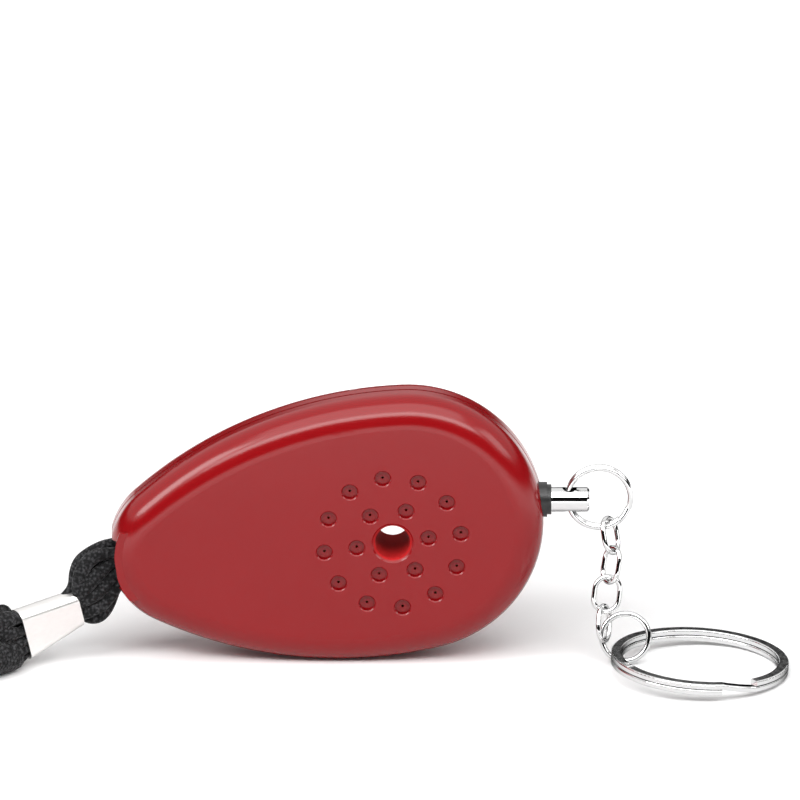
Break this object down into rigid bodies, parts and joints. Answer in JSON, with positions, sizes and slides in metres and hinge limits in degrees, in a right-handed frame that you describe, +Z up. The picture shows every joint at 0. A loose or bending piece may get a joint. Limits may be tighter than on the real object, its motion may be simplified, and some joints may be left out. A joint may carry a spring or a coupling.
{
  "type": "personal safety alarm",
  "caption": "Red egg-shaped personal safety alarm with a chromed pull pin on a chain and key ring, and a black wrist strap.",
  "frame": {"origin": "under the middle of the alarm's box, the wrist strap left out, on the surface that it stands on", "axes": "+X along the alarm towards the pull pin, +Y from the face to the back, +Z up"},
  "size_m": [0.205, 0.0401, 0.0398],
  "materials": {
    "red_plastic": "polished",
    "black_plastic": "fine grain",
    "chrome": "polished",
    "nickel": "satin",
    "black_fabric": "knitted",
    "foam": "soft foam",
    "brass": "satin",
    "ceramic": "silvered ceramic",
    "board_green": "solder mask",
    "chip_black": "moulded epoxy",
    "ferrite": "pressed ferrite",
    "copper": "enamelled wire",
    "red_wire": "PVC sleeve",
    "black_wire": "PVC sleeve",
    "steel": "satin",
    "cell_steel": "drawn steel",
    "can_black": "sleeve"
  },
  "bodies": {
    "case": {"front_shell": "red_plastic", "rear_shell": "red_plastic", "case_screws": "steel", "strap_post": "steel", "piezo_disc": "brass", "piezo_ceramic": "ceramic", "sounder_gasket": "foam", "circuit_board": "board_green", "alarm_chip": "chip_black", "transistor": "chip_black", "resistors": "chip_black", "capacitor": "can_black", "boost_coil_core": "ferrite", "boost_coil_winding": "copper", "sounder_wire_red": "red_wire", "sounder_wire_black": "black_wire", "battery_wire_red": "red_wire", "battery_wire_black": "black_wire", "contact_plus": "steel", "contact_minus": "steel", "cell_bridge": "steel", "battery_pad": "foam", "pin_collar": "black_plastic", "switch_post": "brass", "button_cell_1": "cell_steel", "button_cell_2": "cell_steel", "button_cell_3": "cell_steel", "strap_neck": "black_fabric", "strap_crimp": "nickel", "strap_loop": "black_fabric"},
    "pin": {"pull_pin": "chrome"},
    "leaf": {"switch_leaf": "brass"},
    "split_ring": {"pin_ring": "chrome"},
    "link_1": {"chain_link_1": "chrome"},
    "link_2": {"chain_link_2": "chrome"},
    "link_3": {"chain_link_3": "chrome"},
    "link_4": {"chain_link_4": "chrome"},
    "connector": {"connector_ring": "chrome"},
    "key_ring": {"key_ring": "chrome"}
  },
  "joints": [
    {"name": "pin_pull", "type": "slide", "parent": "case", "child": "pin", "axis": [1, 0, 0], "range_m": [0, 0.012]},
    {"name": "leaf_close", "type": "hinge", "parent": "case", "child": "leaf", "pos_m": [-0.00204, 0.00782, 0.02515], "axis": [0, 1, 0], "range_deg": [0, 10]},
    {"name": "ring_swing", "type": "hinge", "parent": "pin", "child": "split_ring", "pos_m": [0.01696, 0.00782, 0.02322], "axis": [0, 0, 1], "range_deg": [-45, 45]},
    {"name": "link_1_swing", "type": "hinge", "parent": "split_ring", "child": "link_1", "pos_m": [0.02255, 0.00782, 0.01935], "axis": [0.9491, 0, 0.315], "range_deg": [-13, 25]},
    {"name": "link_2_swing", "type": "hinge", "parent": "link_1", "child": "link_2", "pos_m": [0.02314, 0.00626, 0.01571], "axis": [-0.5083, -0.8134, 0.2829], "range_deg": [-20, 20]},
    {"name": "link_3_swing", "type": "hinge", "parent": "link_2", "child": "link_3", "pos_m": [0.02245, 0.00517, 0.01167], "axis": [-0.5561, 0.8213, -0.1276], "range_deg": [-20, 20]},
    {"name": "link_4_swing", "type": "hinge", "parent": "link_3", "child": "link_4", "pos_m": [0.02192, 0.00431, 0.00756], "axis": [-0.9642, -0.2049, 0.1684], "range_deg": [-20, 20]},
    {"name": "connector_swing", "type": "hinge", "parent": "link_4", "child": "connector", "pos_m": [0.0223, 0.00514, 0.00566], "axis": [-0.0562, -0.5291, -0.8467], "range_deg": [-8, 12]},
    {"name": "key_ring_swing", "type": "hinge", "parent": "connector", "child": "key_ring", "pos_m": [0.02333, 0.00292, 0.001], "axis": [0.887, -0.1327, -0.4423], "range_deg": [-10, 10]}
  ],
  "couplings": [
    {"joint": "leaf_close", "follows": "pin_pull", "rad_per_m": 14.544}
  ]
}
